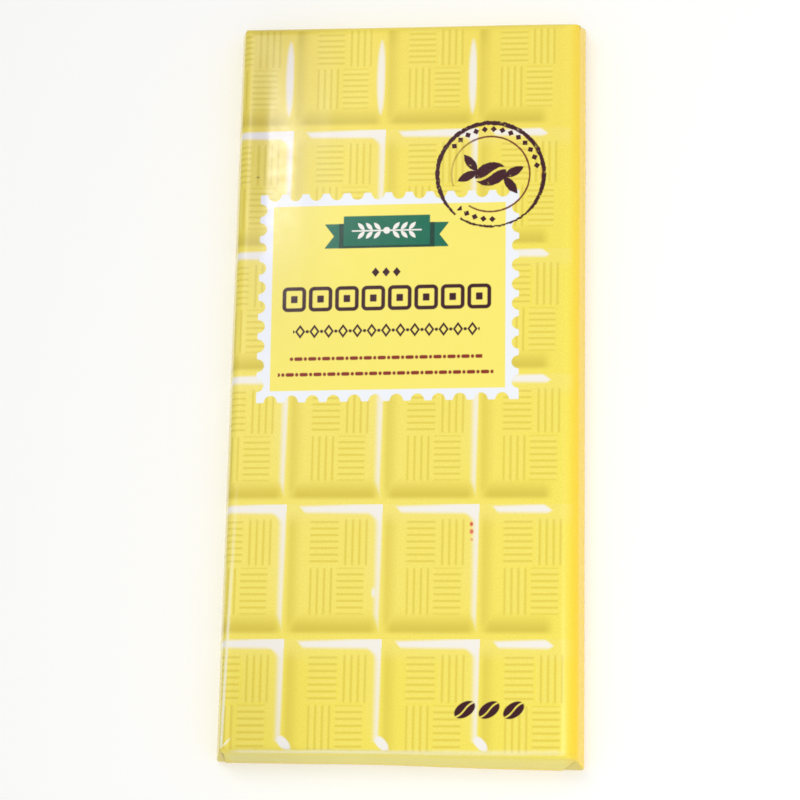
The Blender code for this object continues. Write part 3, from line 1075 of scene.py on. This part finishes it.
    inks += [
        (stamp["paper"], "stampWhite"),
        (stamp["field"], "field"),
        (stamp["ribbon"], "green"),
        (stamp["fold"], "greenFold"),
        (stamp["sprig"], "white"),
        (stamp["brown"], "brown"),
        (stamp["red"], "red"),
        (mark["rust"], "rust"),
        (mark["smear"], "smear"),
        (mark["plum"], "plum"),
        (mark["beans"], "brown"),
    ]
    for speckX, speckY, halfWidth, halfHeight, name in specks:
        place = (add("SUBTRACT", x, speckX), add("SUBTRACT", y, speckY))
        speck = add(shapes["oval"], *place, halfWidth, halfHeight)
        speck = add("MapRange", speck, 0.2, -0.2, **smooth)
        inks.append((speck, name))

    colour = linear(paper["yellow"])
    for mask, name in inks:
        sockets = {0: mask, 6: colour, 7: linear(paper[name])}
        colour = add("Mix", sockets, data_type="RGBA", output=2)

    # painted shade: the left side is darkened, most towards the top left corner, less towards the bottom
    # left, and less again over the rounded left edge
    toLeft = add("MapRange", x, -10.0, -34.0, **smooth)
    toLeft = add("MULTIPLY", toLeft, add("MapRange", x, -38.0, -34.5))
    toTop = add("MapRange", y, -8.0, 50.0, **smooth)
    toBottom = add("MapRange", y, -40.0, -80.0, 0.0, 0.4, **smooth)
    paintedLeftShade = add("MULTIPLY", toLeft, add("ADD", toTop, toBottom))
    sockets = {0: paintedLeftShade, 6: colour, 7: linear(paper["paintedLeftShade"])}
    colour = add("Mix", sockets, data_type="RGBA", blend_type="MULTIPLY", output=2)

    uneven = cloud(add, sheet, 0.35, 3.0, paper["roughness"] - 0.03, paper["roughness"] + 0.03)
    rubbed = apart(add, x, -36.6)
    rubbed = add("MapRange", rubbed, 1.5, 0.6, 0.0, 0.3, **smooth)
    uneven = add("ADD", uneven, rubbed)
    fibre = add("TexNoise", {"Vector": sheet, "Scale": 1.6, "Detail": 2.0})
    bump = add("Bump", {"Height": fibre, "Strength": 0.02, "Distance": 0.0005})
    sockets = {"Base Color": colour, "Roughness": uneven, "Normal": bump, "Specular IOR Level": 0.4}
    shader = add("BsdfPrincipled", sockets)
    add("OutputMaterial", {"Surface": shader})
    return material


print("wrapper: block, folds and seam")
paperMaterial = coatedPaper()
body = wrapperBody()
flaps = [endFlap(body, -1), endFlap(body, 1)]
finishPiece("wrapperSleeve", body, paperMaterial)
finishPiece("lowerEndFlap", flaps[0], paperMaterial)
finishPiece("upperEndFlap", flaps[1], paperMaterial)
finishPiece("backSeam", backSeam(), paperMaterial)


# Floor, light and camera

studio = {
    "floor": "#FCFCFB",
    "camera": (52.716, -134.163, 590.494),     # mm, from the pack's middle on the floor
    "turn": (0.2195, 0.0898, 0.0023),
    "lens": 126.0,
    "world": 0.62,
}


softboxes = {
    "keySoftbox": {"place": (-360, 420, 880), "size": (360, 440), "power": 1.5},
    "fillSoftbox": {"place": (300, -140, 450), "size": (300, 300), "power": 1.25, "shadow": False},
    "sheenCard": {          # shows in the gloss near the upper left alone
        "place": (-103.5, 151, 339),
        "size": (40, 28),
        "power": 0.10,
        "aim": (-47, 48, 9),
        "sheenOnly": True,
    },
}


def makeStudio():
    bm = bmesh.new()
    bmesh.ops.create_grid(bm, x_segments=1, y_segments=1, size=3.0)
    floor = placeMesh("floor", bm)
    material = bpy.data.materials.new("matt studio board")
    material.use_nodes = True
    shader = material.node_tree.nodes["Principled BSDF"]
    shader.inputs["Base Color"].default_value = linear(studio["floor"])
    shader.inputs["Roughness"].default_value = 0.9
    floor.data.materials.append(material)

    world = bpy.data.worlds.new("studio")
    bpy.context.scene.world = world
    world.use_nodes = True
    world.node_tree.nodes["Background"].inputs["Color"].default_value = (1, 1, 1, 1)
    world.node_tree.nodes["Background"].inputs["Strength"].default_value = studio["world"]


def addSoftbox(name, place, size, power, aim=(0, 0, 0), sheenOnly=False, shadow=True):
    light = bpy.data.lights.new(name, "AREA")
    light.shape = "RECTANGLE"
    light.size, light.size_y = size[0] * mm, size[1] * mm
    light.energy = power
    light.use_shadow = shadow
    lamp = bpy.data.objects.new(name, light)
    lamp.location = Vector(place) * mm
    lamp.rotation_euler = (Vector(aim) * mm - lamp.location).to_track_quat("-Z", "Y").to_euler()
    lamp.visible_camera = False
    lamp.visible_diffuse = not sheenOnly
    bpy.context.scene.collection.objects.link(lamp)


def addCamera():
    data = bpy.data.cameras.new("camera")
    data.lens = studio["lens"]
    data.sensor_width = 36.0
    data.clip_start = 0.01
    camera = bpy.data.objects.new("camera", data)
    camera.location = Vector(studio["camera"]) * mm
    camera.rotation_mode = "ZYX"
    camera.rotation_euler = studio["turn"]
    bpy.context.scene.collection.objects.link(camera)
    bpy.context.scene.camera = camera


print("studio: floor, light and camera")
makeStudio()
for name, settings in softboxes.items():
    addSoftbox(name, **settings)
addCamera()
bpy.context.scene.view_settings.view_transform = "Standard"
